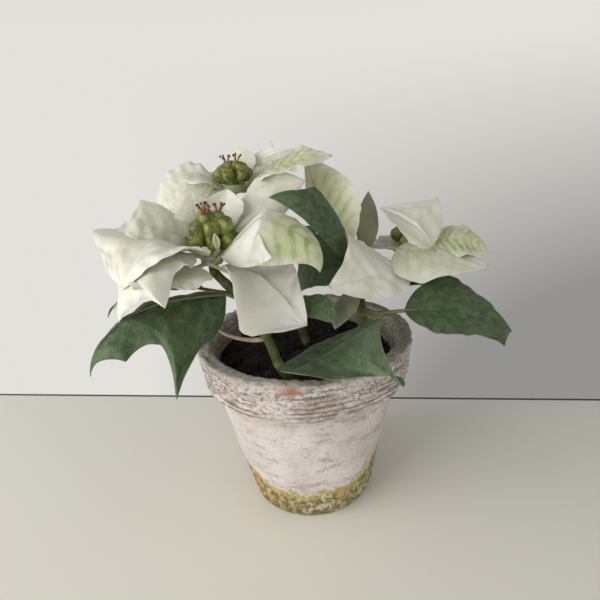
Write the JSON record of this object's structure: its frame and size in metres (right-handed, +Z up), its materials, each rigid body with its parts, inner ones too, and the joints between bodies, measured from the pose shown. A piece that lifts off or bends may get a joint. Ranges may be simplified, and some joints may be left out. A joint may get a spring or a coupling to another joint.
{
  "type": "potted poinsettia",
  "caption": "White-bracted poinsettia with toothed green leaves, standing in soil in a whitewashed clay pot.",
  "frame": {"origin": "centre of the pot's base, on the surface that it stands on", "axes": "+Z up along the pot's axis, -Y towards the front of the plant, +X to the right seen from the front"},
  "size_m": [0.211, 0.2001, 0.1992],
  "materials": {
    "whitewashed_clay": "matte",
    "soil": "matte",
    "leaf_and_stem": "matte",
    "white_bract": "matte",
    "green_white_bract": "matte",
    "bud": "satin"
  },
  "bodies": {
    "root": {"pot": "whitewashed_clay", "soil": "soil", "stem_left": "leaf_and_stem", "stem_back": "leaf_and_stem", "stem_right": "leaf_and_stem", "bracts_left": "white_bract", "bracts_back": "white_bract", "bracts_right": "white_bract", "bract_tall": "green_white_bract", "buds_left": "bud", "buds_back": "bud", "buds_right": "bud"}
  },
  "joints": []
}
